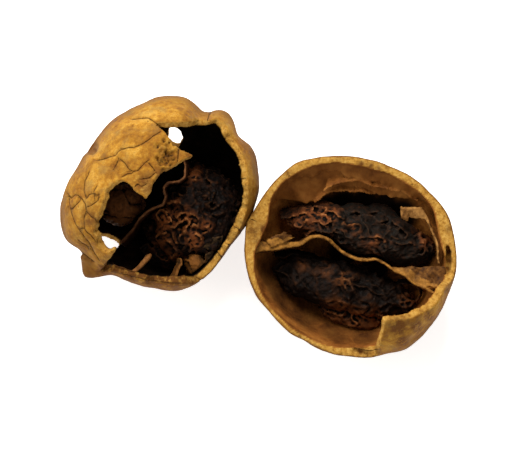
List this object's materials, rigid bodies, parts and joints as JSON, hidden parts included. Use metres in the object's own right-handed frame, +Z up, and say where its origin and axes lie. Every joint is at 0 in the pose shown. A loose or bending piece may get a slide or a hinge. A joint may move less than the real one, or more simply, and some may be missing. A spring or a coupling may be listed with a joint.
{
  "type": "cracked walnut",
  "caption": "Cracked walnut lying open: a holed shell and a bowl-shaped shell with papery partitions and shrivelled kernel lobes.",
  "frame": {"origin": "centre of the bottom of the whole object's box, on the surface that both parts lie on", "axes": "+Z up; +X from the holed part to the bowl-shaped part, along the longest side; -Y towards the side that both mouths lean to"},
  "size_m": [0.0715, 0.0468, 0.0336],
  "materials": {
    "shell": "dry ochre nutshell, crackled, matt",
    "partition": "thin papery partition, matt",
    "kernel": "shrivelled dark kernel, dull sheen on its folds",
    "lining": "brown papery lining, satin"
  },
  "bodies": {
    "root": {"left_shell": "shell", "left_partition": "partition", "left_partition_strip": "partition", "left_kernel_lobe": "kernel", "left_kernel_small_lobe": "kernel", "left_lining_scrap": "lining", "right_shell": "shell", "right_partition": "partition", "right_kernel_upper_lobe": "kernel", "right_kernel_lower_lobe": "kernel", "right_lining": "lining", "right_lining_curl": "partition"}
  },
  "joints": []
}
